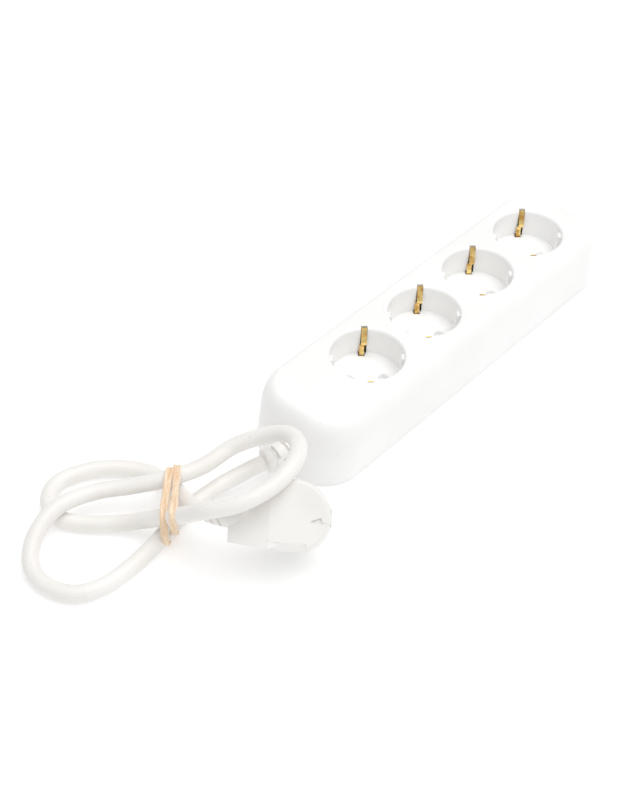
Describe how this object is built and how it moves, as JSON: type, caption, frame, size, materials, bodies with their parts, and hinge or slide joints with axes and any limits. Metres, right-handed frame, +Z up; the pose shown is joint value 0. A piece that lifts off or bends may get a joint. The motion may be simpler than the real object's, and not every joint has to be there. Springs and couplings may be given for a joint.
{
  "type": "extension cord",
  "caption": "Short extension cord: a long white socket strip with round earthed wells, its short lead looped and held by a rubber band, and an angled moulded plug.",
  "frame": {"origin": "middle of the strip's underside", "axes": "+X along the strip away from its lead, +Y across the strip, +Z up"},
  "size_m": [0.3932, 0.144, 0.0601],
  "materials": {
    "cover_plastic": "satin white moulded plastic",
    "socket_plastic": "satin white moulded plastic",
    "brass": "plain rolled brass strip",
    "clip_brass": "bright sprung brass",
    "zinc_steel": "zinc plated",
    "brown_pvc": "brown insulation",
    "blue_pvc": "blue insulation",
    "green_pvc": "green and yellow insulation",
    "cord_pvc": "soft warm white sheath with a slight sheen",
    "band_rubber": "matte tan rubber",
    "insert_plastic": "matte light grey",
    "nickel": "nickel plated"
  },
  "bodies": {
    "housing": {"top_cover": "cover_plastic", "base_plate": "cover_plastic", "socket_cup_1": "socket_plastic", "socket_cup_2": "socket_plastic", "socket_cup_3": "socket_plastic", "socket_cup_4": "socket_plastic", "live_busbar": "brass", "neutral_busbar": "brass", "earth_bar": "brass", "housing_screws": "zinc_steel", "cord_clamp": "cover_plastic", "clamp_screws": "zinc_steel", "live_wire": "brown_pvc", "neutral_wire": "blue_pvc", "earth_wire": "green_pvc", "strip_strain_relief": "cover_plastic", "mains_cord": "cord_pvc", "rubber_band": "band_rubber", "plug_housing": "cord_pvc", "plug_insert": "insert_plastic", "plug_live_pin": "nickel", "plug_neutral_pin": "nickel", "plug_earth_strip_far": "nickel", "plug_earth_strip_near": "nickel", "plug_earth_sleeve": "nickel", "plug_strain_relief": "cord_pvc"},
    "earth_clip_1_far": {"earth_clip_1_far": "clip_brass"},
    "earth_clip_2_far": {"earth_clip_2_far": "clip_brass"},
    "earth_clip_3_far": {"earth_clip_3_far": "clip_brass"},
    "earth_clip_4_far": {"earth_clip_4_far": "clip_brass"},
    "earth_clip_1_near": {"earth_clip_1_near": "clip_brass"},
    "earth_clip_2_near": {"earth_clip_2_near": "clip_brass"},
    "earth_clip_3_near": {"earth_clip_3_near": "clip_brass"},
    "earth_clip_4_near": {"earth_clip_4_near": "clip_brass"}
  },
  "joints": [
    {"name": "earth_clip_1_far_flex", "type": "hinge", "parent": "housing", "child": "earth_clip_1_far", "pos_m": [-0.04784, 0.01266, 0.0052], "axis": [-0.7071, 0.7071, 0], "range_deg": [0, 1.6], "stiffness_Nm_per_rad": 0.05},
    {"name": "earth_clip_2_far_flex", "type": "hinge", "parent": "housing", "child": "earth_clip_2_far", "pos_m": [0.00016, 0.01266, 0.0052], "axis": [-0.7071, 0.7071, 0], "range_deg": [0, 1.6], "stiffness_Nm_per_rad": 0.05},
    {"name": "earth_clip_3_far_flex", "type": "hinge", "parent": "housing", "child": "earth_clip_3_far", "pos_m": [0.04816, 0.01266, 0.0052], "axis": [-0.7071, 0.7071, 0], "range_deg": [0, 1.6], "stiffness_Nm_per_rad": 0.05},
    {"name": "earth_clip_4_far_flex", "type": "hinge", "parent": "housing", "child": "earth_clip_4_far", "pos_m": [0.09616, 0.01266, 0.0052], "axis": [-0.7071, 0.7071, 0], "range_deg": [0, 1.6], "stiffness_Nm_per_rad": 0.05},
    {"name": "earth_clip_1_near_flex", "type": "hinge", "parent": "housing", "child": "earth_clip_1_near", "pos_m": [-0.07316, -0.01266, 0.0052], "axis": [0.7071, -0.7071, 0], "range_deg": [0, 1.6], "stiffness_Nm_per_rad": 0.05},
    {"name": "earth_clip_2_near_flex", "type": "hinge", "parent": "housing", "child": "earth_clip_2_near", "pos_m": [-0.02516, -0.01266, 0.0052], "axis": [0.7071, -0.7071, 0], "range_deg": [0, 1.6], "stiffness_Nm_per_rad": 0.05},
    {"name": "earth_clip_3_near_flex", "type": "hinge", "parent": "housing", "child": "earth_clip_3_near", "pos_m": [0.02284, -0.01266, 0.0052], "axis": [0.7071, -0.7071, 0], "range_deg": [0, 1.6], "stiffness_Nm_per_rad": 0.05},
    {"name": "earth_clip_4_near_flex", "type": "hinge", "parent": "housing", "child": "earth_clip_4_near", "pos_m": [0.07084, -0.01266, 0.0052], "axis": [0.7071, -0.7071, 0], "range_deg": [0, 1.6], "stiffness_Nm_per_rad": 0.05}
  ]
}
